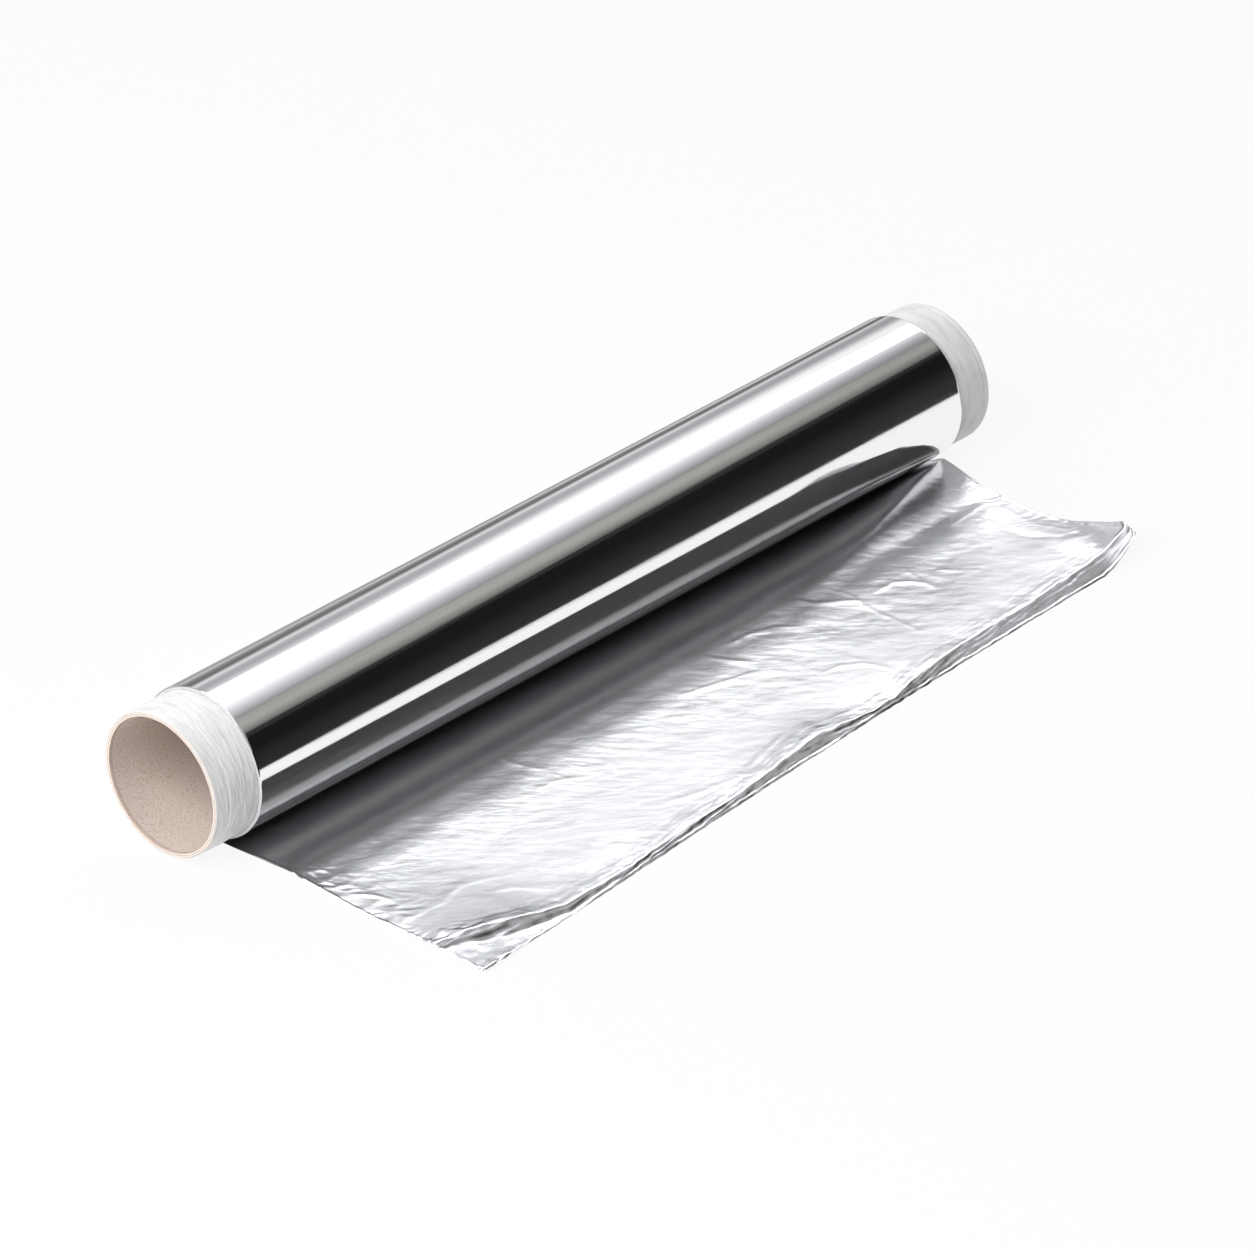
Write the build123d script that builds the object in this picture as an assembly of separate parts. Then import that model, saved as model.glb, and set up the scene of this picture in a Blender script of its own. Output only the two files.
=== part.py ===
from build123d import *
from math import cos, exp, pi, sin
import os

# A roll of household aluminium foil lying on its side, with a short sheet pulled out in front.
# Millimetres. The roll's axis is X, the sheet pays out towards -Y, and Z is up.
# The origin is on the core's axis, in the middle of the foil's width.

# Core
BORE_RADIUS = 20.7         # the hole through the tube
BOARD_WALL = 1.2           # spiral-wound board
NEAR_OVERHANG = 16.4       # tube that shows beyond the foil at the near end (-X)
FAR_OVERHANG = 13.6        # the same at the far end (+X)
MOUTH_DEPTH = 0.8          # the worn edge of the bore, along the axis
MOUTH_FLARE = 0.2          # the same edge, outwards

# Paper ply round the core
WRAP_WALL = 0.35           # white paper, glued on
GLUE_LINE = 0.05           # room for the glue under the paper and under the first turn
PLY_EDGE = 4.6             # how far the ply's free edge lies from the near end of the tube
PLY_STEP = 0.15            # how much the paper drops there, outside the ply's edge
END_TURN = 0.12            # how much the paper is rubbed down at both rims

# Wound foil
FOIL_WIDTH = 300.0         # along the axis
FOIL_BUILD = 0.95          # depth of the wound turns
SHEET_WALL = 0.3           # foil thickness, thicker than real foil so that it holds as a solid
CREVICE = 6.0              # degrees round the roll where the last turn lifts off the turn beneath

# Free sheet, in front of the roll
SHEET_LENGTH_NEAR = 108.5  # from the roll's contact line to the front edge, at the near side
SHEET_LENGTH_FAR = 93.5    # the same at the far side, where the sheet was torn shorter
TEAR_BOW = 1.7             # how early the tear runs in, 1 for a straight edge
TAB_LENGTH = 8.0           # flat strip on the floor beside the roll, before the sheet starts to wave

# Its front margin, turned down from a ridge
MARGIN_NEAR = 21.0         # width of the margin at the near side
MARGIN_MIDDLE = 5.5        # the same over most of the width
MARGIN_FAR = 9.0           # the same at the far side
MARGIN_REACH = 52.0        # distance from either side over which it narrows
RIDGE_HEIGHT = 3.2         # the ridge, above the floor
RIDGE_NEAR = 1.2           # the same at the near side
HEM_WIDTH = 1.2            # doubled edge along the front
HEM_BACK = 0.4             # flat strip on the floor behind that edge

# Its curled far side, and its slack
TIP_LIFT = 7.4             # how far the far front corner stands up
TIP_REACH = 22.0           # how far along the front edge that lift fades out
BUCKLE_HEIGHT = 4.6        # how far the far side buckles up close to the roll
BUCKLE_PLACE = 18.0        # where it does, from the contact line
BUCKLE_REACH = 42.0        # how far across the sheet the buckle fades out
WAVE_HEIGHT = 0.5          # slack waves across the sheet
WAVE_PITCH = 74.0          # distance from one wave to the next
SECTION_COUNT = 17         # sections that the sheet is drawn through

# Radii and places that follow
board_radius = BORE_RADIUS + BOARD_WALL
wrap_inner = board_radius + GLUE_LINE
wrap_radius = wrap_inner + WRAP_WALL
turns_inner = wrap_radius + GLUE_LINE
foil_radius = turns_inner + FOIL_BUILD
foil_near = -FOIL_WIDTH / 2
foil_far = FOIL_WIDTH / 2
tube_near = foil_near - NEAR_OVERHANG
tube_far = foil_far + FAR_OVERHANG
drop_width = MARGIN_MIDDLE - HEM_WIDTH - HEM_BACK


def make_core_tube():
    """The board tube, turned about X, with the edge of the bore worn back at both mouths."""
    half_section = Polyline(
        (tube_near, BORE_RADIUS + MOUTH_FLARE),
        (tube_near, board_radius),
        (tube_far, board_radius),
        (tube_far, BORE_RADIUS + MOUTH_FLARE),
        (tube_far - MOUTH_DEPTH, BORE_RADIUS),
        (tube_near + MOUTH_DEPTH, BORE_RADIUS),
        close=True,
    )
    return revolve(make_face(half_section), Axis.X, 360)


def make_core_wrap():
    """The paper ply: a thin sleeve over the whole tube, thinner outside its free edge."""
    low = wrap_radius - PLY_STEP
    edge = tube_near + PLY_EDGE
    half_section = Polyline(
        (tube_near, wrap_inner),
        (tube_near, low - END_TURN),
        (tube_near + END_TURN, low),
        (edge, low),
        (edge + PLY_STEP, wrap_radius),
        (tube_far - END_TURN, wrap_radius),
        (tube_far, wrap_radius - END_TURN),
        (tube_far, wrap_inner),
        close=True,
    )
    return revolve(make_face(half_section), Axis.X, 360)


def spiral_point(turn):
    """A point on the outside of the last turn, in the roll's end view.

    turn runs from 0 at the contact line, back and over the top, to 1 at the contact line again.
    """
    radius = foil_radius - SHEET_WALL * turn
    angle = -pi / 2 + 2 * pi * turn
    return radius * cos(angle), radius * sin(angle)


def make_turns():
    """The wound turns, as one ring, with the last turn running out into a flat tab on the floor."""
    last = 1 - CREVICE / 360
    outside = [spiral_point(last * step / 24) for step in range(25)]
    floor = -foil_radius
    sheet_top = floor + SHEET_WALL
    end_view = Plane.YZ.offset(foil_near)
    outline = (
        Spline(*outside)
        + Line(outside[-1], (outside[-1][0], sheet_top))
        + Polyline((outside[-1][0], sheet_top), (-TAB_LENGTH, sheet_top), (-TAB_LENGTH, floor), outside[0])
    )
    ring = make_face(outline) - Circle(turns_inner)
    return extrude(end_view * ring, FOIL_WIDTH)


def fade(distance, reach):
    """1 at no distance, falling smoothly to nearly 0 at the reach."""
    return exp(-((2 * distance / reach) ** 2))


def sheet_section(x):
    """The cut through the free sheet at one place across its width, as a closed wire."""
    from_near = x - foil_near
    from_far = foil_far - x
    near_side = fade(from_near, MARGIN_REACH)
    far_side = fade(from_far, MARGIN_REACH)
    torn_off = 1 - max(from_far / FOIL_WIDTH, 0) ** TEAR_BOW
    length = SHEET_LENGTH_NEAR + (SHEET_LENGTH_FAR - SHEET_LENGTH_NEAR) * torn_off
    margin = MARGIN_MIDDLE + (MARGIN_NEAR - MARGIN_MIDDLE) * near_side + (MARGIN_FAR - MARGIN_MIDDLE) * far_side
    ridge_height = RIDGE_HEIGHT + (RIDGE_NEAR - RIDGE_HEIGHT) * near_side
    tip = TIP_LIFT * fade(from_far, TIP_REACH)
    buckle = BUCKLE_HEIGHT * fade(from_far, BUCKLE_REACH)
    wave = WAVE_HEIGHT * (1 + sin(2 * pi * from_near / WAVE_PITCH)) / 2

    # Distances from the contact line and heights above the floor
    ridge_place = length - margin
    trough_place = (BUCKLE_PLACE + ridge_place) / 2
    tab = (TAB_LENGTH, 0)
    crest = (BUCKLE_PLACE, wave + buckle)
    trough = (trough_place, wave + tip / 10)
    ridge = (ridge_place, ridge_height + wave + tip / 2)
    foot = (ridge_place + drop_width, tip * 0.9)
    hem = (length - HEM_WIDTH, tip)
    front = (length, tip)

    def place(point, rise=0.0):
        return Vector(x, -point[0], point[1] + rise - foil_radius)

    def belly(rise):
        level = Vector(0, -1, 0)
        climb = Vector(0, -1, 0.12)
        points = [place(point, rise) for point in (tab, crest, trough, ridge)]
        return Spline(*points, tangents=[level, level, level, climb])

    under = Polyline(place(ridge), place(foot), place(hem), place(front))
    over = Polyline(
        place(front),
        place(front, 2 * SHEET_WALL),
        place(hem, 2 * SHEET_WALL),
        place(hem, SHEET_WALL),
        place(foot, SHEET_WALL),
        place(ridge, SHEET_WALL),
    )
    back = Line(place(tab, SHEET_WALL), place(tab))
    return Wire([belly(0), *under.edges(), *over.edges(), belly(SHEET_WALL), back])


def make_sheet():
    """The free sheet, drawn through sections that lie closer together towards both sides."""
    steps = [pi * step / (SECTION_COUNT - 1) for step in range(SECTION_COUNT)]
    return Solid.make_loft([sheet_section(-foil_far * cos(step)) for step in steps])


core_tube = make_core_tube()
core_wrap = make_core_wrap()
foil = make_turns() + make_sheet()

os.makedirs("parts", exist_ok=True)
for name, piece in {"core_tube": core_tube, "core_wrap": core_wrap, "foil": foil}.items():
    piece.label = name
    export_step(piece, f"parts/{name}.step")
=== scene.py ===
import math
import bmesh
import bpy
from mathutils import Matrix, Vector, noise


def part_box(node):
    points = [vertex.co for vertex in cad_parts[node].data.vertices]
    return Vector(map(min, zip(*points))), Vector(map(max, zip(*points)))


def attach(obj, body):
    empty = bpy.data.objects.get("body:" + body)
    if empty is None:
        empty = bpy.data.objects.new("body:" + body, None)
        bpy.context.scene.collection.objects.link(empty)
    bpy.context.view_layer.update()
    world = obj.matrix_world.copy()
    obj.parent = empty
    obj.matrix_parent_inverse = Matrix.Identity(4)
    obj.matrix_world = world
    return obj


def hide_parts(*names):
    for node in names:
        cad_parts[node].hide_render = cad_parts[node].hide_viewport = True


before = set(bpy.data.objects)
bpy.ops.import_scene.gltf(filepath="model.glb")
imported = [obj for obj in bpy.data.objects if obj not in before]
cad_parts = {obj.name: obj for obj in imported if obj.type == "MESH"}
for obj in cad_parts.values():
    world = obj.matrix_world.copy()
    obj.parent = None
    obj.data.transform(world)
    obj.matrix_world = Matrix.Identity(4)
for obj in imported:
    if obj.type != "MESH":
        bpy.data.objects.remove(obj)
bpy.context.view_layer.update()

# Board tube
# The core is strips of grey-brown board, wound on the slant and glued into an open tube.
# Both ends are cut square, so the plies show as cream and tan rings, and the bore's edge is worn back.
# Just inside each mouth the bore is painted darker: painted shade.
MM = 0.001
BORE_RADIUS = 20.6
BORE_PITCH = 0.95
MOUTH_FLARE = 0.1
MOUTH_DEPTH = 0.25
LIP_DEPTH = 1.0
PLIES = 2
PLY_GROOVE = 0.06
PLY_ROUNDING = 0.18
LUMP_SIZE = 9.0
LUMP_HEIGHT = 0.05
FUZZ_FINER = 7
BORE_FUZZ = 0.015
CUT_FUZZ = 0.05
CUT_FACING = 0.9
BOARD_AROUND = 192

tube_low, tube_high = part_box("core_tube")
tube_near = tube_low.x / MM
tube_far = tube_high.x / MM
board_radius = tube_high.z / MM


def spaced(start, end, pitch):
    """Even steps from start to end, both included, about one pitch apart."""
    steps = max(1, round(abs(end - start) / pitch))
    return [start + (end - start) * step / steps for step in range(steps + 1)]


def add_piece(name, vertices, faces):
    """A smooth mesh from points in millimetres, riding on the part's only body."""
    mesh = bpy.data.meshes.new(name)
    mesh.from_pydata([(x * MM, y * MM, z * MM) for x, y, z in vertices], [], faces)
    work = bmesh.new()
    work.from_mesh(mesh)
    bmesh.ops.recalc_face_normals(work, faces=work.faces)
    work.to_mesh(mesh)
    work.free()
    mesh.shade_smooth()
    piece = bpy.data.objects.new(name, mesh)
    bpy.context.scene.collection.objects.link(piece)
    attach(piece, "root")
    return piece


def add_ring(name, section, around, nudge):
    """A closed section of (x, radius) points turned about X. nudge moves each point along and outwards."""
    vertices = []
    for x, radius in section:
        for step in range(around):
            angle = 2 * math.pi * step / around
            along, outwards = nudge(x, radius, angle)
            reach = radius + outwards
            vertices.append((x + along, reach * math.cos(angle), reach * math.sin(angle)))
    faces = []
    for row in range(len(section)):
        start = row * around
        after = (row + 1) % len(section) * around
        for step in range(around):
            beside = (step + 1) % around
            faces.append((start + step, start + beside, after + beside, after + step))
    return add_piece(name, vertices, faces)


def cut_end(x, inwards):
    """The cut face of the tube at one end, from the mouth out to the last ply, grooved between plies."""
    inner = BORE_RADIUS + MOUTH_FLARE
    ply = (board_radius - inner) / PLIES
    face = []
    for index in range(PLIES):
        start = inner + ply * index
        face.append((x + inwards * PLY_GROOVE, start))
        face.append((x, start + PLY_ROUNDING * ply))
        face.append((x, start + (1 - PLY_ROUNDING) * ply))
    face.append((x + inwards * PLY_GROOVE, board_radius))
    return face


def board_nudge(x, radius, angle):
    """Slightly uneven cut ends, and a soft, lumpy bore."""
    place = Vector((x, radius * math.cos(angle), radius * math.sin(angle))) / LUMP_SIZE
    fuzz = noise.noise(place * FUZZ_FINER)
    if radius > BORE_RADIUS:
        return CUT_FUZZ * fuzz, 0.0
    return 0.0, LUMP_HEIGHT * noise.noise(place) + BORE_FUZZ * fuzz


bore_places = spaced(tube_far - MOUTH_DEPTH, tube_near + MOUTH_DEPTH, BORE_PITCH)
bore_line = [(x, BORE_RADIUS) for x in bore_places]
tube_section = cut_end(tube_near, 1) + list(reversed(cut_end(tube_far, -1))) + bore_line
board_tube = add_ring("board_tube", tube_section, BOARD_AROUND, board_nudge)
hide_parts("core_tube")


def new_finish(name):
    """A new material with its node tree and its shader."""
    finish = bpy.data.materials.new(name)
    finish.use_nodes = True
    return finish, finish.node_tree, finish.node_tree.nodes["Principled BSDF"]


def node(tree, kind, **values):
    """A new node, with its sockets set by name."""
    made = tree.nodes.new(kind)
    for socket, value in values.items():
        made.inputs[socket.replace("_", " ")].default_value = value
    return made


def ramp(tree, source, stops):
    """Colours looked up along a value, from (position, colour) pairs."""
    made = tree.nodes.new("ShaderNodeValToRGB")
    elements = made.color_ramp.elements
    for element, (position, colour) in zip(elements, (stops[0], stops[-1])):
        element.position = position
        element.color = (*colour, 1)
    for position, colour in stops[1:-1]:
        elements.new(position).color = (*colour, 1)
    tree.links.new(source, made.inputs["Fac"])
    return made.outputs["Color"]


def bump(tree, shader, source, strength, distance):
    """Relief on a shader from a height."""
    made = node(tree, "ShaderNodeBump", Strength=strength, Distance=distance)
    tree.links.new(source, made.inputs["Height"])
    tree.links.new(made.outputs["Normal"], shader.inputs["Normal"])


def place_on(tree, drawn_out=(1, 1, 1), turn=0.0):
    """The piece's own coordinates, in metres, turned about Z, with what lies on them drawn out per axis."""
    coordinates = tree.nodes.new("ShaderNodeTexCoord")
    mapping = node(tree, "ShaderNodeMapping", Scale=drawn_out, Rotation=(0, 0, math.radians(turn)))
    mapping.vector_type = "TEXTURE"
    tree.links.new(coordinates.outputs["Object"], mapping.inputs["Vector"])
    return mapping.outputs["Vector"]


def grain(tree, where, scale, detail=6.0, roughness=0.6):
    """Noise over the piece. scale is lumps per metre."""
    made = node(tree, "ShaderNodeTexNoise", Scale=scale, Detail=detail, Roughness=roughness)
    tree.links.new(where, made.inputs["Vector"])
    return made.outputs["Fac"]


def board_finish(name, lumps, stops, relief):
    """Matt fibrous board, with its colours looked up along a noise of so many lumps per metre."""
    finish, tree, shader = new_finish(name)
    pulp = grain(tree, place_on(tree, (1.4, 1, 1)), lumps)
    tree.links.new(ramp(tree, pulp, stops), shader.inputs["Base Color"])
    shader.inputs["Roughness"].default_value = 0.95
    shader.inputs["Specular IOR Level"].default_value = 0.15
    bump(tree, shader, pulp, relief, 0.0002)
    return finish


GREY_BROWN = [(0.30, (0.50, 0.39, 0.33)), (0.45, (0.70, 0.61, 0.55)), (0.64, (0.80, 0.72, 0.67))]
# Darker colours for the bore just inside each mouth: painted shade, not the board's own colour.
SHADED_LIP = [(0.35, (0.50, 0.41, 0.36)), (0.65, (0.62, 0.53, 0.48))]
CREAM = [(0.32, (0.86, 0.74, 0.66)), (0.5, (0.91, 0.82, 0.75)), (0.7, (0.93, 0.86, 0.80))]
TAN = [(0.35, (0.46, 0.35, 0.28)), (0.65, (0.60, 0.48, 0.40))]
INSIDE, PAINTED_SHADE_LIP, CUT, GLUE = range(4)
board_tube.data.materials.append(board_finish("board_inside", 2100, GREY_BROWN, 0.35))
board_tube.data.materials.append(board_finish("board_lip_painted_shade", 900, SHADED_LIP, 0.2))
board_tube.data.materials.append(board_finish("board_cut", 1600, CREAM, 0.25))
board_tube.data.materials.append(board_finish("board_glue", 700, TAN, 0.1))
for face in board_tube.data.polygons:
    from_end = min(face.center.x - tube_low.x, tube_high.x - face.center.x) / MM
    if abs(face.normal.x) > CUT_FACING:
        face.material_index = CUT
    elif from_end < MOUTH_DEPTH:
        face.material_index = GLUE
    # The bore up to LIP_DEPTH from each end takes the darker lip colours: painted shade.
    elif from_end < LIP_DEPTH:
        face.material_index = PAINTED_SHADE_LIP
    else:
        face.material_index = INSIDE

# Paper ply
# A strip of thin white paper is glued round the tube and runs under the foil from end to end.
# Its free edge lies on the slant near one end, and the paper there is creased round the core.
GLUE_LINE = 0.05
PLY_EDGE = 4.6
PLY_SKEW = 1.3
PLY_TURN = 0.6
PLY_WANDER = 0.25
PLY_STEP = 0.12
PLY_STEP_RUN = 0.35
PLY_GAP = 0.2
PLY_GAP_WIDTH = 0.28
END_TURN = 0.12
END_SETTLES = 1.5
RIM_GROOVE = 0.14
RIM_PLACE = 1.7
RIM_WIDTH = 0.4
CREASE_DEPTH = 0.16
FAR_CREASES = 0.3
UNDER_FOIL = 1.0
NEAR_PITCH = 0.22
FAR_PITCH = 0.3
PAPER_AROUND = 256

wrap_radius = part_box("core_wrap")[1].z / MM
wrap_inner = board_radius + GLUE_LINE
foil_low, foil_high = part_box("foil")
foil_near = foil_low.x / MM
foil_far = foil_high.x / MM


def ridged(place, sharpness):
    """Thin raised lines: 1 along them, falling off to both sides."""
    return (1 - min(1.0, abs(noise.noise(place)))) ** sharpness


def round_about(x, angle, length, count):
    """Where to look up noise on a round piece, with lumps of a length along it and so many a radian."""
    return Vector((x / length, count * math.cos(angle), count * math.sin(angle)))


def paper_nudge(x, radius, angle):
    """Creases round both ends, and the step down outside the ply's free edge."""
    if radius <= wrap_inner:
        return 0.0, 0.0
    near = x < 0
    from_end = min(x - tube_near, tube_far - x)
    wide = ridged(round_about(x, angle, length=2.6, count=1.4), 7)
    fine = ridged(round_about(x, angle, length=0.8, count=4.5) + Vector((40, 0, 0)), 4)
    slack = noise.noise(round_about(x, angle, length=7, count=1.1) + Vector((0, 9, 0)))
    depth = CREASE_DEPTH if near else FAR_CREASES * CREASE_DEPTH
    relief = depth * (0.7 * wide + 0.4 * fine + 0.6 * slack - 0.5)
    relief *= min(1.0, from_end / END_SETTLES)
    if near:
        edge = tube_near + PLY_EDGE + PLY_SKEW * math.sin(angle - PLY_TURN) + PLY_WANDER * slack
        relief -= PLY_STEP * max(0.0, min(1.0, (edge - x) / PLY_STEP_RUN + 0.5))
        relief -= PLY_GAP * (0.5 + 0.5 * slack) * math.exp(-(((x - edge) / PLY_GAP_WIDTH) ** 2))
    else:
        relief -= RIM_GROOVE * math.exp(-(((from_end - RIM_PLACE) / RIM_WIDTH) ** 2))
    return 0.0, relief


near_band = spaced(tube_near + END_TURN, foil_near + UNDER_FOIL, NEAR_PITCH)
far_band = spaced(foil_far - UNDER_FOIL, tube_far - END_TURN, FAR_PITCH)
paper_section = (
    [(tube_near, wrap_inner), (tube_near, wrap_radius - END_TURN)]
    + [(x, wrap_radius) for x in near_band + far_band]
    + [(tube_far, wrap_radius - END_TURN), (tube_far, wrap_inner)]
)
paper_ply = add_ring("paper_ply", paper_section, PAPER_AROUND, paper_nudge)
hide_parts("core_wrap")

PAPER_WHITE = [(0.32, (0.79, 0.785, 0.78)), (0.5, (0.90, 0.897, 0.892)), (0.6, (0.93, 0.927, 0.922))]
white_paper, tree, shader = new_finish("white_paper")
tooth = grain(tree, place_on(tree, (1, 5, 5)), 2600)
mottle = grain(tree, place_on(tree, (0.4, 1.6, 1.6)), 170, 5)
tree.links.new(ramp(tree, mottle, PAPER_WHITE), shader.inputs["Base Color"])
shader.inputs["Roughness"].default_value = 0.5
shader.inputs["Specular IOR Level"].default_value = 0.4
bump(tree, shader, tooth, 0.2, 0.00015)
paper_ply.data.materials.append(white_paper)

# Wound foil
# Many turns of thin aluminium foil, wound tight over the paper with the mirror-bright side out.
# The winding leaves faint straight ridges along the roll, and the edges of the turns show at both ends.
SHEET_WALL = 0.3
WINDING_RIDGE = 0.006
RIDGES = 7.5
LINE_DEPTH = 0.007
ROLLING_LINES = 19
DENT_DEPTH = 0.0096
EDGE_STAGGER = 0.12
EDGE_PITCH = 0.16
SHOULDER = 0.35
CHAMFER = 0.3 * SHOULDER
LAST_TURN = 0.05
FLAT_PLACE = math.radians(165)
FLAT_REACH = math.radians(16)
FLAT_DEPTH = 0.27
BODY_PITCH = 4.0
TURNS_AROUND = 512

turns_inner = wrap_radius + GLUE_LINE
# The solid's last turn winds in by its own thickness, so halfway round, at the top, it lies half of that in.
foil_radius = foil_high.z / MM + SHEET_WALL / 2


def winding_nudge(x, radius, angle):
    """Faint ridges along the roll, slow dents, a flat along the front, and turns that end unevenly."""
    if radius <= turns_inner:
        return 0.0, 0.0
    ridge = noise.noise(round_about(x, angle, length=400, count=RIDGES))
    line = noise.noise(round_about(x, angle, length=300, count=ROLLING_LINES))
    dent = noise.noise(round_about(x, angle, length=45, count=1.5) + Vector((0, 0, 7)))
    relief = WINDING_RIDGE * ridge + LINE_DEPTH * line + DENT_DEPTH * dent
    flat = FLAT_DEPTH * max(0.0, 1 - ((angle - FLAT_PLACE) / FLAT_REACH) ** 2) ** 2
    since_contact = (angle / (2 * math.pi) + 0.25) % 1.0
    stagger = 0.0
    if x in (foil_near, foil_far):
        stagger = EDGE_STAGGER * noise.noise(round_about(radius, angle, length=1 / 6, count=0.8))
    return stagger, relief - LAST_TURN * since_contact - flat


turn_edges = spaced(turns_inner, foil_radius - SHOULDER, EDGE_PITCH)
body = spaced(foil_near + 2 * SHOULDER, foil_far - 2 * SHOULDER, BODY_PITCH)
body = [foil_near + SHOULDER] + body + [foil_far - SHOULDER]
turns_section = (
    [(foil_near, radius) for radius in turn_edges]
    + [(foil_near + CHAMFER, foil_radius - CHAMFER)]
    + [(x, foil_radius) for x in body]
    + [(foil_far - CHAMFER, foil_radius - CHAMFER)]
    + [(foil_far, radius) for radius in reversed(turn_edges)]
)
foil_turns = add_ring("foil_turns", turns_section, TURNS_AROUND, winding_nudge)
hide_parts("foil")


def grey(level):
    """A grey of one level."""
    return (level, level, level)


bright_foil, tree, shader = new_finish("bright_foil")
rolling_lines = grain(tree, place_on(tree, (0.016, 1, 1)), 90, 3)
smear = grain(tree, place_on(tree, (3, 1, 1)), 60, 4)
shader.inputs["Base Color"].default_value = (0.91, 0.915, 0.92, 1)
shader.inputs["Metallic"].default_value = 1.0
polish = ramp(tree, smear, [(0.35, grey(0.05)), (0.7, grey(0.09))])
tree.links.new(polish, shader.inputs["Roughness"])
bump(tree, shader, rolling_lines, 0.03, 0.00005)

foil_edges, tree, shader = new_finish("foil_edges")
layers = grain(tree, place_on(tree), 3000, 3)
edge_tone = ramp(tree, layers, [(0.35, (0.70, 0.70, 0.71)), (0.65, (0.86, 0.86, 0.87))])
tree.links.new(edge_tone, shader.inputs["Base Color"])
shader.inputs["Metallic"].default_value = 0.3
shader.inputs["Roughness"].default_value = 0.5

BRIGHT, EDGES = range(2)
foil_turns.data.materials.append(bright_foil)
foil_turns.data.materials.append(foil_edges)
for face in foil_turns.data.polygons:
    face.material_index = EDGES if abs(face.normal.x) > CUT_FACING else BRIGHT

# Free sheet
# The last turn leaves the roll at the bottom and lies on the floor in front, satin side up.
# Its torn front margin is turned down from a crinkled ridge, and the far corner stands up.
# Places on it are millimetres across, along the roll, and out from the line where it touches the floor.
SHEET_LENGTH_NEAR = 108.5
SHEET_LENGTH_FAR = 93.5
TEAR_BOW = 1.6
TEAR_WANDER = 0.25
TIP_ROUND = 2.5


def fade(distance, reach):
    """1 at no distance, falling smoothly to nearly 0 at the reach."""
    return math.exp(-((2 * distance / reach) ** 2))


def eased(value, start, end):
    """0 up to the start and 1 from the end on, with a smooth step between."""
    share = max(0.0, min(1.0, (value - start) / (end - start)))
    return share * share * (3 - 2 * share)


def torn_length(x):
    """The sheet's length at one place across it. It is torn askew, and the far corner is rounded."""
    from_far = foil_far - x
    torn_off = 1 - max(from_far / (foil_far - foil_near), 0) ** TEAR_BOW
    length = SHEET_LENGTH_NEAR + (SHEET_LENGTH_FAR - SHEET_LENGTH_NEAR) * torn_off
    length += TEAR_WANDER * noise.noise(Vector((x / 3, 0, 3)))
    return length - TIP_ROUND * max(0.0, 1 - from_far / TIP_ROUND) ** 2


# The crest of the ridge: place across, distance back from the torn edge, and height
RIDGE_LINE = [
    (-150, 18.5, 1.2),
    (-144, 17.5, 2.0),
    (-138, 14.5, 2.5),
    (-132, 11.8, 2.7),
    (-125, 8.6, 2.5),
    (-111, 3.4, 1.6),
    (-83, 2.2, 1.1),
    (-53, 2.8, 1.4),
    (-36, 2.5, 1.2),
    (-10, 3.9, 1.8),
    (5, 5.0, 2.1),
    (14, 3.6, 1.7),
    (27, 1.9, 1.0),
    (37, 1.8, 1.0),
    (53, 4.2, 2.0),
    (74, 5.3, 1.75),
    (107, 5.5, 1.8),
    (122, 5.9, 2.05),
    (136, 6.2, 2.6),
    (144, 5.4, 2.8),
    (150, 4.4, 2.6),
]
MARGIN_WANDER = 0.35
RIDGE_WANDER = 0.2


def ridge_at(x):
    """The ridge at one place across the sheet: its distance back from the torn edge, and its height."""
    place = max(RIDGE_LINE[0][0], min(RIDGE_LINE[-1][0], x))
    for (start, margin, height), (end, next_margin, next_height) in zip(RIDGE_LINE, RIDGE_LINE[1:]):
        if place <= end:
            share = (place - start) / (end - start)
            margin += (next_margin - margin) * share
            height += (next_height - height) * share
            break
    margin += MARGIN_WANDER * noise.noise(Vector((x / 5, 0, 4)))
    height += RIDGE_WANDER * noise.noise(Vector((x / 8, 0, 1)))
    return margin, height


TIP_HINGE = Vector((150.0, 60.0))
TIP_ACROSS = Vector((0.926, 0.377))
TIP_STEEPNESS = 1.3
TIP_BEND = 14.0


def tip_height(x, out):
    """The far corner, which bends up beyond a slanting hinge."""
    beyond = (Vector((x, out)) - TIP_HINGE).dot(TIP_ACROSS)
    return TIP_STEEPNESS * beyond ** 2 / (beyond + TIP_BEND) if beyond > 0 else 0.0


BUCKLE_HEIGHT = 4.6
BUCKLE_PLACE = 15.5
BUCKLE_DRIFT = 0.26
BUCKLE_END = 37.0
BUCKLE_REACH = 74.0
BUCKLE_SHORTEST = 5.0
BUCKLE_CURVE = 1.5
RISE_OVER = 1.05
FALL_OVER = 1.1
ROOM_TAKEN = 0.7
CREST_SOFTNESS = 0.5
LEAST_SOFTNESS = 0.0001


def buckle_height(x, out):
    """The far edge beside the roll, which stands up against the roll and falls away to the front."""
    crest = BUCKLE_HEIGHT * fade(foil_far - x, BUCKLE_REACH)
    crest_place = BUCKLE_PLACE + BUCKLE_DRIFT * (foil_far - x)
    reach = min(out, foil_radius)
    under_roll = foil_radius - math.sqrt(foil_radius ** 2 - reach ** 2)
    rising = min(RISE_OVER * crest * eased(out, 0, crest_place), ROOM_TAKEN * under_roll)
    run = max(BUCKLE_END - crest_place, BUCKLE_SHORTEST)
    left = min(1.0, max(0.0, 1 - (out - crest_place) / run))
    falling = FALL_OVER * crest * left ** BUCKLE_CURVE
    softness = CREST_SOFTNESS * crest + LEAST_SOFTNESS
    overlap = max(0.0, softness - abs(rising - falling)) / softness
    return max(0.0, min(rising, falling) - overlap ** 2 * softness / 4)


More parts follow.
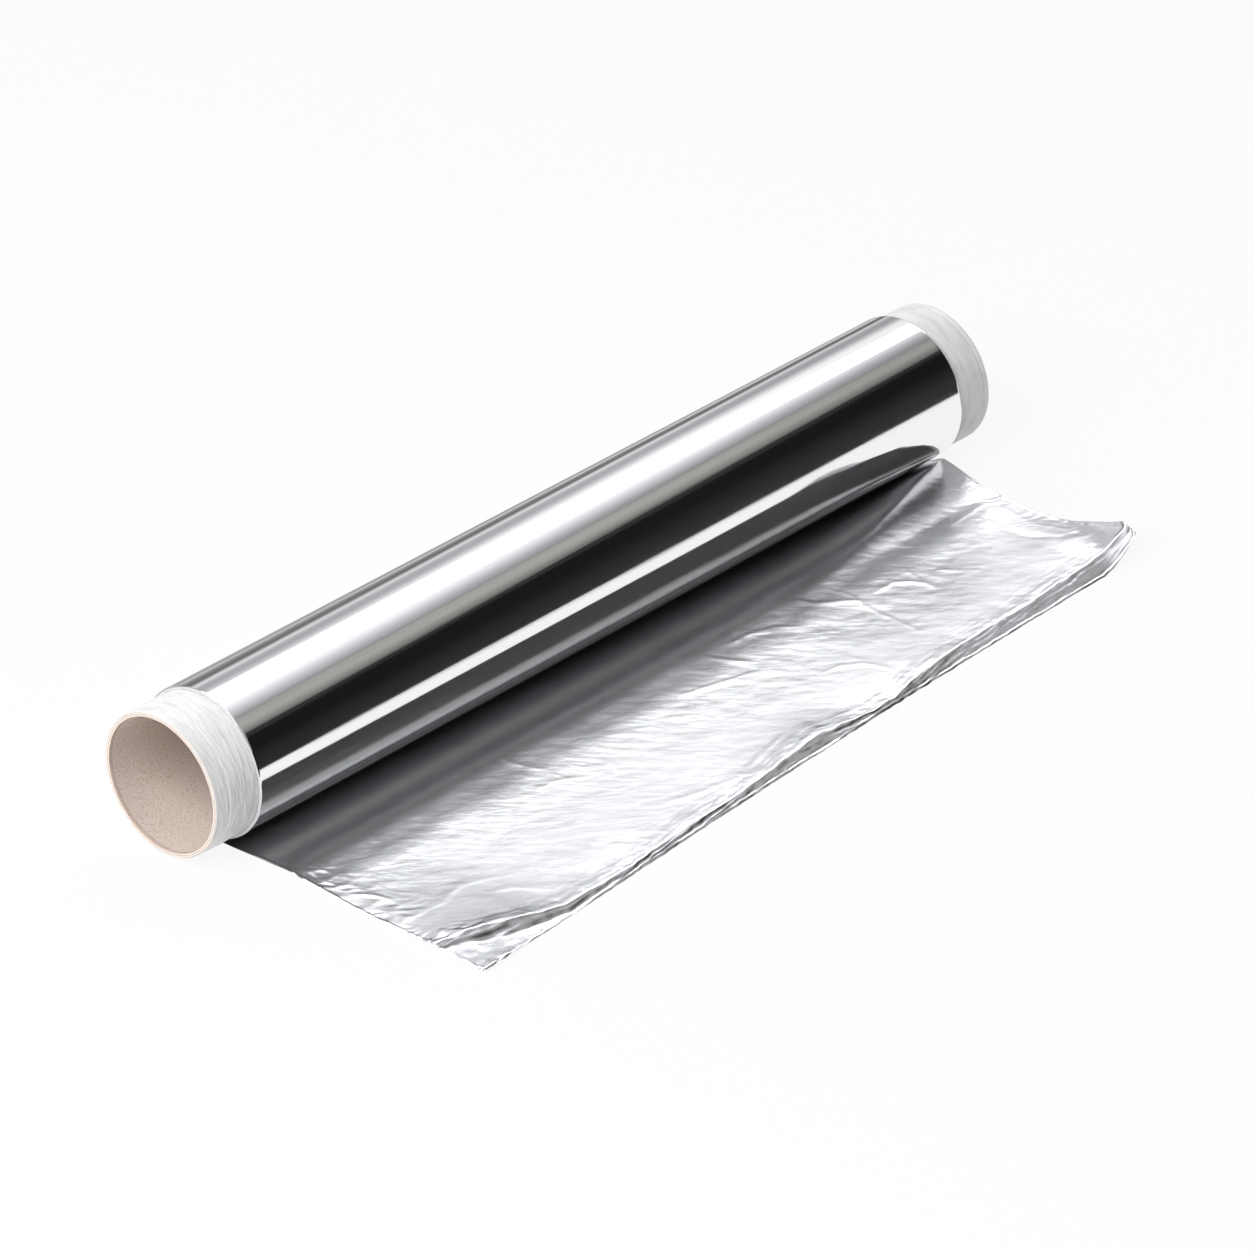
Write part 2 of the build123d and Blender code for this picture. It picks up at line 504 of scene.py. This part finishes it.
# The broad form: a shelf beside the roll with a step down in front of it, a back that rises to the ridge,
# the strip that is turned down from it, a steeper wedge at the near corner and a lifted flap at the far side.
# Pairs are the places across the sheet from which and up to which something sets in.
FAR_HALF = (30, 90)
SHELF_HEIGHT = 0.65
SHELF_START = 4.0
SHELF_PLACE = 29.5
SHELF_COMES_IN = 2.0
SHELF_END = 66.0
STEP_NEAR = 0.6
STEP_FAR = 0.95
STEP_RUN = 13.0
STEP_TAPER = 0.7
STEP_TAPERS = (112, 136)
BACK_START = 50.0
BACK_CURVE = 1.6
BACK_NEAR = 1.5
BACK_FAR = 2.2
BACK_GROWS = (20, 70)
BACK_EDGE = 1.4
BACK_EDGE_GROWS = (116, 136)
RIDGE_SIDE = 16.0
STRIP_SLOPE = 0.51
STRIP_EASING = 0.15
STRIP_EASES = (0, 80)
TIP_SLOPE = 0.35
TIP_STEEPENS = (134, 148)
FOOT_CLEAR = 0.3
WEDGE_SLOPE = 0.72
WEDGE_LIFT = 0.05
WEDGE_GROWS = (-95, -115)
FLAP_START = 42.0
FLAP_SLOPE = 0.03
FLAP_GROWS = (133, 143)


def broad_form(x):
    """The sheet before it is wrinkled, at one place across: its length, ridge, foot and height going out."""
    length = torn_length(x)
    margin, ridge_height = ridge_at(x)
    ridge = length - margin
    in_wedge = eased(x, *WEDGE_GROWS)
    slope = STRIP_SLOPE + (WEDGE_SLOPE - STRIP_SLOPE) * in_wedge
    slope += TIP_SLOPE * eased(x, *TIP_STEEPENS) - STRIP_EASING * eased(x, *STRIP_EASES)
    foot = ridge + min(ridge_height / slope, margin - FOOT_CLEAR)
    in_far_half = eased(x, *FAR_HALF)
    shelf = SHELF_PLACE - SHELF_COMES_IN * in_far_half + noise.noise(Vector((x / 17, 0, 6)))
    step = STEP_NEAR + (STEP_FAR - STEP_NEAR) * in_far_half
    step *= 1 - STEP_TAPER * eased(x, *STEP_TAPERS)
    back = BACK_NEAR + (BACK_FAR - BACK_NEAR) * eased(x, *BACK_GROWS)
    back += (ridge_height - back) * in_wedge + BACK_EDGE * eased(x, *BACK_EDGE_GROWS)

    def height_at(out):
        height = SHELF_HEIGHT * (1 - eased(out, shelf, SHELF_END))
        height += step * (1 - eased(out, shelf, shelf + STEP_RUN))
        height *= eased(out, SHELF_START, shelf)
        if BACK_START < out < ridge:
            height += back * ((out - BACK_START) / (ridge - BACK_START)) ** BACK_CURVE
            height += (ridge_height - back) * fade(out - ridge, RIDGE_SIDE)
        elif ridge <= out < foot:
            height += ridge_height * (1 - (out - ridge) / (foot - ridge))
        elif out >= foot:
            height += WEDGE_LIFT * in_wedge * (out - foot)
        height += FLAP_SLOPE * max(0.0, out - FLAP_START) * eased(x, *FLAP_GROWS)
        return height + tip_height(x, out) + buckle_height(x, out)

    return length, ridge, foot, height_at


# Creases: places along each as (across, out), its rise, and how wide it is on both sides.
# Across the sheet, the first width is on the roll's side. Along it, the first is on the far side.
CREASES = [
    ([(-65, 31), (-64.6, 37), (-62, 43), (-59.4, 48)], 0.096, 1.2, 2.6),
    ([(-60, 49), (-59.6, 55), (-59, 63)], 0.032, 1.2, 1.2),
    ([(-70, 52.6), (-64, 53.4), (-56, 56.4)], 0.056, 2.2, 1.2),
    ([(-5, 47), (6, 50), (14, 52), (24, 55)], 0.064, 1.2, 3.0),
    ([(16, 36), (20, 42), (23, 47), (25, 50)], 0.104, 1.3, 3.2),
    ([(26, 38), (36, 39), (45, 42), (51, 48)], 0.104, 1.3, 3.4),
    ([(32, 69), (41, 70.6), (46, 75), (48, 81), (48, 87)], 0.080, 1.2, 1.6),
    ([(59, 34), (63, 41), (70, 46), (74, 50)], 0.104, 1.3, 3.2),
    ([(71, 37), (74, 45), (72, 54), (71.6, 68), (70, 81)], 0.064, 1.2, 1.8),
    ([(78, 50), (88, 50), (93, 54), (94.4, 61)], 0.096, 2.8, 1.2),
    ([(97, 45), (94, 60)], 0.056, 1.2, 2.0),
    ([(101, 53), (108, 60), (112, 65)], 0.056, 1.2, 2.6),
    ([(124, 40), (142, 39)], 0.104, 1.2, 1.8),
    ([(140, 45), (135, 53), (136, 62), (140, 70), (146, 77)], -0.128, 3.0, 2.4),
    ([(145, 40), (143, 59), (147, 74)], 0.096, 1.6, 1.6),
    ([(-148, 32), (-145, 38), (-146, 46)], 0.112, 2.0, 1.5),
    ([(-145, 53), (-141, 59), (-139, 65)], 0.112, 1.8, 1.4),
    ([(-152, 73), (-140, 75), (-132, 75.6), (-122, 72.6), (-114, 76), (-106, 80)], 0.072, 4.0, 1.4),
    ([(-121, 81), (-113, 84), (-109, 90), (-106, 95)], 0.072, 2.4, 1.2),
    ([(-77, 89), (-74, 94)], 0.088, 1.4, 1.6),
    ([(-51, 85), (-40, 89), (-24, 92)], 0.104, 2.6, 1.4),
    ([(-26, 88), (-24, 94)], 0.088, 1.3, 1.6),
    ([(-22, 90), (-8, 87), (0, 85)], 0.080, 2.0, 1.3),
    ([(14, 89), (28, 91), (48, 90)], 0.080, 2.0, 1.3),
    ([(-150, 28), (-150, 40), (-150, 53)], 0.480, 4.0, 4.0),
]
CREASE_SHARPNESS = 1.7
CREASE_BLUNTNESS = 4


def crease_height(x, out):
    """All the creases at one place on the sheet."""
    height = 0.0
    here = Vector((x, out))
    for places, rise, first_width, second_width in CREASES:
        widest = max(first_width, second_width)
        across = [place[0] for place in places]
        if not min(across) - widest < x < max(across) + widest:
            continue
        closest = widest
        for index in range(len(places) - 1):
            start = Vector(places[index])
            run = Vector(places[index + 1]) - start
            share = max(0.0, min(1.0, (here - start).dot(run) / run.length_squared))
            gap = here - start - share * run
            if gap.length < closest:
                closest = gap.length
                width = second_width if run.x * gap.y - run.y * gap.x > 0 else first_width
                along = (index + share) / (len(places) - 1)
                lean = max(0.0, 1 - closest / width) ** CREASE_SHARPNESS
                added = rise * lean * (1 - abs(2 * along - 1) ** CREASE_BLUNTNESS)
        if closest < widest:
            height += added
    return height


# Crinkles lie on a slant, given as its shares across and out.
CRINKLE_SLANT = (0.68, 0.73)
FOLD_SLANT = (0.96, 0.28)
SWELL_HEIGHT = 0.06
RIPPLE_HEIGHT = 0.038
FINE_HEIGHT = 0.018
CRUSH_HEIGHT = 0.22
CRUMPLE_HEIGHT = 0.8


def on_slant(x, out, slant):
    """Distances along and across a slant."""
    return slant[0] * x + slant[1] * out, slant[0] * out - slant[1] * x


def crinkle(x, out, crushed, crumpled):
    """Fine crinkles all over, drawn out along the slant, with sharp ones where the foil is handled."""
    along, across = on_slant(x, out, CRINKLE_SLANT)
    fold_along, fold_across = on_slant(x, out, FOLD_SLANT)
    busy = 0.55 + 0.3 * eased(x, -40, 80) + 0.15 * eased(out, 40, 80)
    swell = noise.noise(Vector((along / 13, across / 8, 0)))
    ripple = noise.noise(Vector((along / 5.5, across / 3.2, 5)))
    fine = noise.noise(Vector((along / 3, across / 1.7, 7)))
    sharp = ridged(Vector((along / 6, across / 3.2 + 1.5 * swell, 3)), 2)
    fold = ridged(Vector((fold_along / 9, fold_across / 2.4, 17)), 2)
    silk = busy * (SWELL_HEIGHT * swell + RIPPLE_HEIGHT * ripple + FINE_HEIGHT * fine)
    return silk + CRUSH_HEIGHT * crushed * sharp + CRUMPLE_HEIGHT * crumpled * fold


BRAID_DEPTH = 0.20
BRAID_AT_TIP = 0.28
BRAID_TIP_REACH = 40.0
BRAID_REACH = 12.0


def braid(x, beyond_ridge):
    """Long thin creases that run along the ridge and cross it at a slant."""
    lines = ridged(Vector((x / 15 + beyond_ridge / 9, beyond_ridge / 1.2 + x / 38, 13)), 2)
    depth = BRAID_DEPTH
    if beyond_ridge > 0:
        depth += BRAID_AT_TIP * fade(foil_far - x, BRAID_TIP_REACH)
    return depth * fade(beyond_ridge, BRAID_REACH) * lines


def wrinkle_height(x, out, ridge):
    """Crinkles, creases and braid at one place, roughest at both sides, the ridge and the near corner."""
    from_near = x - foil_near
    from_far = foil_far - x
    along_ridge = 0.5 * fade(out - ridge, 10)
    near_side = fade(from_near, 22) * eased(out, 28, 36)
    far_side = 0.8 * fade(from_far, 24) * eased(out, 22, 30)
    by_buckle = 0.15 * fade(from_far, 70) * fade(out - 30, 24)
    crushed = along_ridge + near_side + far_side + by_buckle
    crumpled = fade(from_near, 56) * eased(out, ridge - 6, ridge + 2)
    return crinkle(x, out, crushed, crumpled) + crease_height(x, out) + braid(x, out - ridge)


TAB_LENGTH = 8.0
CALM_RUN = 20.0
CALM_CUT_SHORT = 11.0
CALM_REACH = 70.0
HEM_HEIGHT = 0.22
HEM_STEPS = [0.0, 0.2, 0.45, 0.75, 1.1]
HEM_CLEAR = 0.2
SIDE_CLEAR = 0.5
COLUMN_PITCH = 0.58
BELLY_ROWS = 150
STRIP_ROWS = 10
MARGIN_ROWS = 6


def bead(inset):
    """The doubled edge, as a low rounded bead. inset is the distance in from the edge."""
    return HEM_HEIGHT * math.sin(math.pi * max(0.0, 1 - inset / HEM_STEPS[-1])) if inset > 0 else 0.0


def sheet_row(x):
    """Points along the sheet at one place across it, as (out, height)."""
    length, ridge, foot, height_at = broad_form(x)
    hem = length - HEM_STEPS[-1]
    front = min(foot, hem - HEM_CLEAR)
    outs = (
        [ridge * row / BELLY_ROWS for row in range(BELLY_ROWS)]
        + [ridge + (front - ridge) * row / STRIP_ROWS for row in range(STRIP_ROWS)]
        + [front + (hem - front) * row / MARGIN_ROWS for row in range(MARGIN_ROWS)]
        + [length - inset for inset in reversed(HEM_STEPS)]
    )
    calm_end = TAB_LENGTH + CALM_RUN - CALM_CUT_SHORT * fade(foil_far - x, CALM_REACH)
    side_bead = bead(min(x - foil_near, foil_far - x))
    points = []
    for out in outs:
        relief = wrinkle_height(x, out, ridge) + max(bead(length - out), side_bead)
        points.append((out, height_at(out) + eased(out, TAB_LENGTH, calm_end) * relief))
    return points


side = HEM_STEPS[-1] + SIDE_CLEAR
columns = [foil_near + inset for inset in HEM_STEPS]
columns += spaced(foil_near + side, foil_far - side, COLUMN_PITCH)
columns += [foil_far - inset for inset in reversed(HEM_STEPS)]
sheet_vertices = []
for x in columns:
    for out, height in sheet_row(x):
        sheet_vertices.append((x, -out, max(0.0, height) - foil_radius))
rows = len(sheet_vertices) // len(columns)
sheet_faces = []
for column in range(len(columns) - 1):
    for row in range(rows - 1):
        corner = column * rows + row
        sheet_faces.append((corner, corner + 1, corner + rows + 1, corner + rows))
foil_sheet = add_piece("foil_sheet", sheet_vertices, sheet_faces)
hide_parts("foil")

satin_foil, tree, shader = new_finish("satin_foil")
shader.inputs["Base Color"].default_value = (0.84, 0.85, 0.88, 1)
shader.inputs["Metallic"].default_value = 0.97
satin = grain(tree, place_on(tree), 45, 4)
sheen = ramp(tree, satin, [(0.35, grey(0.23)), (0.7, grey(0.26))])
tree.links.new(sheen, shader.inputs["Roughness"])
creep = grain(tree, place_on(tree, (2.2, 1, 1), -47), 420, 3)
bump(tree, shader, creep, 0.22, 0.0003)
foil_sheet.data.materials.append(satin_foil)

# Floor
# A plain white sweep under the roll and the sheet, which keeps their soft shadow.
# The lens and the metal see it mostly as white.
FLOOR_REACH = 6.0
FLOOR_GLOW = 0.9
FLOOR_CLEAR = 0.0001


def add_stage(name, vertices, faces):
    """A mesh from points in metres that belongs to the studio and not to the roll."""
    mesh = bpy.data.meshes.new(name)
    mesh.from_pydata(vertices, [], faces)
    made = bpy.data.objects.new(name, mesh)
    bpy.context.scene.collection.objects.link(made)
    return made


floor_level = -foil_radius * MM - FLOOR_CLEAR
floor_corners = [(-1, -1), (1, -1), (1, 1), (-1, 1)]
floor_vertices = [(FLOOR_REACH * x, FLOOR_REACH * y, floor_level) for x, y in floor_corners]
floor = add_stage("floor", floor_vertices, [(0, 1, 2, 3)])


def math_node(tree, operation, first, second):
    """A sum, a product or the like of two sockets or plain numbers."""
    made = tree.nodes.new("ShaderNodeMath")
    made.operation = operation
    for socket, value in zip(made.inputs, (first, second)):
        if isinstance(value, (int, float)):
            socket.default_value = value
        else:
            tree.links.new(value, socket)
    return made.outputs["Value"]


def mix_shaders(tree, share, first, second, output):
    """Two shaders mixed by a share, led to the output node."""
    made = tree.nodes.new("ShaderNodeMixShader")
    tree.links.new(share, made.inputs["Fac"])
    tree.links.new(first, made.inputs[1])
    tree.links.new(second, made.inputs[2])
    tree.links.new(made.outputs["Shader"], tree.nodes[output].inputs["Surface"])


white_floor, tree, shader = new_finish("white_floor")
shader.inputs["Base Color"].default_value = (0.9, 0.9, 0.9, 1)
shader.inputs["Roughness"].default_value = 1.0
shader.inputs["Specular IOR Level"].default_value = 0.0
glow = node(tree, "ShaderNodeEmission", Color=(1, 1, 1, 1), Strength=1.0)
seen = tree.nodes.new("ShaderNodeLightPath")
seen_plainly = math_node(tree, "MAXIMUM", seen.outputs["Is Camera Ray"], seen.outputs["Is Glossy Ray"])
glowing = math_node(tree, "MULTIPLY", seen_plainly, FLOOR_GLOW)
mix_shaders(tree, glowing, shader.outputs["BSDF"], glow.outputs["Emission"], "Material Output")
floor.data.materials.append(white_floor)

# Light tent
# A half round tent over the roll that only the metal sees: a long soft box overhead with a bright core,
# grey steps and a dark front. Its strips run a little askew to the roll, so their reflections drift along it.
TENT_RADIUS = 0.6
TENT_FRONT = 0.203
TENT_BACK = -92.0
TENT_BEND = 60.0
TENT_FOOT = 96.6
TENT_ARC_STEP = 2.0
TENT_NEAR = -0.9
TENT_FAR = 1.7
TENT_SKEW = 40.5
TENT_MIDDLE = 0.45
APRON_START = 0.03
APRON_CLEAR = 0.01
APRON_LIFT = 0.001
APRON_PITCH = 0.05
SOFT_BOX = 1.1
CORE_BACK = -34.0
CORE_FRONT = -21.0
CORE_EDGE = 5.0
CORE_LEVEL = 3.3
FADE_NEAR = 0.53
FADE_FAR = 0.73
CORE_FADE = 0.45
CLOTH_FADE = 0.8
PLAIN = (1.0, 1.0, 1.0)
COOL = (0.98, 0.985, 1.03)
WARM = (1.0, 1.01, 0.95)
# Degrees from the zenith towards the front, brightness and tint
TENT_STRIPS = [
    (-180, 0.60, PLAIN),
    (-127, 0.52, PLAIN),
    (-116, 0.34, PLAIN),
    (-104, 0.64, PLAIN),
    (-89, 0.24, PLAIN),
    (-82, 0.16, PLAIN),
    (-78, 0.20, PLAIN),
    (-74, 0.60, PLAIN),
    (-70, 0.78, PLAIN),
    (-66, 0.50, COOL),
    (-58, 0.42, COOL),
    (-52, 0.54, COOL),
    (-46, 0.80, PLAIN),
    (-40, SOFT_BOX, PLAIN),
    (-12, SOFT_BOX, PLAIN),
    (-7, 0.92, COOL),
    (0, 0.66, COOL),
    (8, 0.40, COOL),
    (11, 0.33, PLAIN),
    (12, 0.26, PLAIN),
    (14, 0.37, WARM),
    (23, 0.41, WARM),
    (30, 0.27, WARM),
    (34, 0.17, WARM),
    (36.5, 0.02, PLAIN),
    (39, 0.04, PLAIN),
    (42, 0.010, PLAIN),
    (57, 0.010, PLAIN),
    (82, 0.03, PLAIN),
    (180, 0.06, PLAIN),
]


def tent_point(angle):
    """A point of the tent, as (y, z), at an angle from the zenith. The front wall comes in at the floor."""
    share = max(0.0, min(1.0, (angle - TENT_BEND) / (TENT_FOOT - TENT_BEND)))
    reach = TENT_RADIUS + (TENT_FRONT - TENT_RADIUS) * share
    return -reach * math.sin(math.radians(angle)), reach * math.cos(math.radians(angle))


apron = [(y, floor_level + APRON_LIFT) for y in spaced(APRON_START, TENT_RADIUS - APRON_CLEAR, APRON_PITCH)]
tent_outline = apron + [tent_point(angle) for angle in spaced(TENT_BACK, TENT_FOOT, TENT_ARC_STEP)]
tent_vertices = [(x, y, z) for x in (TENT_NEAR, TENT_FAR) for y, z in tent_outline]
tent_faces = []
for index in range(len(tent_outline) - 1):
    beyond = index + len(tent_outline)
    tent_faces.append((index, index + 1, beyond + 1, beyond))
tent = add_stage("light_tent", tent_vertices, tent_faces)
tent.visible_camera = False
tent.visible_diffuse = False
tent.visible_transmission = False
tent.visible_volume_scatter = False
tent.visible_shadow = False

tent_cloth, tree, shader = new_finish("tent_cloth")
where = tree.nodes.new("ShaderNodeSeparateXYZ")
tree.links.new(place_on(tree), where.inputs["Vector"])
forwards = math_node(tree, "MULTIPLY", where.outputs["Y"], -1.0)
from_zenith = math_node(tree, "ARCTAN2", forwards, where.outputs["Z"])
past_middle = math_node(tree, "SUBTRACT", where.outputs["X"], TENT_MIDDLE)
drift = math_node(tree, "MULTIPLY", past_middle, math.radians(TENT_SKEW))
askew = math_node(tree, "ADD", from_zenith, drift)


def strip_ramp(angle, stops):
    """Colours looked up along an angle from the zenith, from (degrees, colour) pairs."""
    round_circle = node(tree, "ShaderNodeMapRange", From_Min=-math.pi, From_Max=math.pi)
    tree.links.new(angle, round_circle.inputs["Value"])
    on_circle = [(place / 360 + 0.5, colour) for place, colour in stops]
    return ramp(tree, round_circle.outputs["Result"], on_circle)


def tent_glow(colour, level, far_share):
    """Light from the cloth, falling to a share of its level towards the far end."""
    fading = node(tree, "ShaderNodeMapRange", From_Min=FADE_NEAR, From_Max=FADE_FAR)
    fading.inputs["To Min"].default_value = level
    fading.inputs["To Max"].default_value = level * far_share
    tree.links.new(where.outputs["X"], fading.inputs["Value"])
    made = tree.nodes.new("ShaderNodeEmission")
    tree.links.new(colour, made.inputs["Color"])
    tree.links.new(fading.outputs["Result"], made.inputs["Strength"])
    return made.outputs["Emission"]


cloth_stops = []
for angle, level, tint in TENT_STRIPS:
    cloth_stops.append((angle, tuple(level / SOFT_BOX * part for part in tint)))
core_stops = [
    (CORE_BACK - CORE_EDGE, grey(0.0)),
    (CORE_BACK, grey(1.0)),
    (CORE_FRONT, grey(1.0)),
    (CORE_FRONT + CORE_EDGE, grey(0.0)),
]
cloth_glow = tent_glow(strip_ramp(askew, cloth_stops), SOFT_BOX, CLOTH_FADE)
core_glow = tent_glow(strip_ramp(from_zenith, core_stops), CORE_LEVEL, CORE_FADE)
both = tree.nodes.new("ShaderNodeAddShader")
tree.links.new(cloth_glow, both.inputs[0])
tree.links.new(core_glow, both.inputs[1])
tree.links.new(both.outputs["Shader"], tree.nodes["Material Output"].inputs["Surface"])
tent_cloth.cycles.emission_sampling = "NONE"
tent.data.materials.append(tent_cloth)

# Room light
# A soft room that is brighter behind and above the roll,
# and a lamp at the near end that shines into the core.
ROOM_LEVEL = 0.42
ROOM_RANGE = 0.55
ROOM_LEAST = 0.05
ROOM_TOWARDS = (0.0, 0.94, 0.34)
LAMP_TOWARDS = Vector((-0.72, -0.12, 0.68))
LAMP_DISTANCE = 1.5
LAMP_POWER = 15.5
LAMP_SIZE = 0.9

world = bpy.data.worlds.new("room")
bpy.context.scene.world = world
world.use_nodes = True
tree = world.node_tree
direction = tree.nodes.new("ShaderNodeTexCoord")
facing_light = tree.nodes.new("ShaderNodeVectorMath")
facing_light.operation = "DOT_PRODUCT"
facing_light.inputs[1].default_value = ROOM_TOWARDS
tree.links.new(direction.outputs["Generated"], facing_light.inputs[0])
gain = math_node(tree, "MULTIPLY", facing_light.outputs["Value"], ROOM_RANGE)
level = math_node(tree, "MAXIMUM", math_node(tree, "ADD", gain, ROOM_LEVEL), ROOM_LEAST)
room = tree.nodes["Background"]
room.inputs["Color"].default_value = (1, 1, 1, 1)
tree.links.new(level, room.inputs["Strength"])
backdrop = node(tree, "ShaderNodeBackground", Color=(1, 1, 1, 1), Strength=1.0)
seen = tree.nodes.new("ShaderNodeLightPath").outputs["Is Camera Ray"]
mix_shaders(tree, seen, room.outputs["Background"], backdrop.outputs["Background"], "World Output")

lamp_data = bpy.data.lights.new("end_lamp", "AREA")
lamp_data.energy = LAMP_POWER
lamp_data.size = LAMP_SIZE
lamp = bpy.data.objects.new("end_lamp", lamp_data)
lamp.location = LAMP_TOWARDS.normalized() * LAMP_DISTANCE
lamp.rotation_mode = "QUATERNION"
lamp.rotation_quaternion = (-LAMP_TOWARDS).to_track_quat("-Z", "Y")
lamp.visible_glossy = False
bpy.context.scene.collection.objects.link(lamp)

# Camera
# A long lens that looks down on the roll from beyond its near end,
# set a little aside and down so that the roll lies in the frame as it should.
CAMERA_TURN = math.radians(-47.30)
CAMERA_RISE = math.radians(30.27)
CAMERA_DISTANCE = 2.248
CAMERA_ASIDE = 0.01718
CAMERA_DOWN = 0.01750
LENS = 220.6
SENSOR = 36.0

back = Vector(
    (
        math.sin(CAMERA_TURN) * math.cos(CAMERA_RISE),
        -math.cos(CAMERA_TURN) * math.cos(CAMERA_RISE),
        math.sin(CAMERA_RISE),
    )
)
facing = (-back).to_track_quat("-Z", "Y")
camera_data = bpy.data.cameras.new("camera")
camera_data.lens = LENS
camera_data.sensor_width = SENSOR
camera = bpy.data.objects.new("camera", camera_data)
bpy.context.scene.collection.objects.link(camera)
camera.rotation_mode = "QUATERNION"
camera.rotation_quaternion = facing
camera.location = back * CAMERA_DISTANCE + facing @ Vector((CAMERA_ASIDE, -CAMERA_DOWN, 0))
bpy.context.scene.camera = camera
bpy.context.scene.view_settings.view_transform = "Standard"
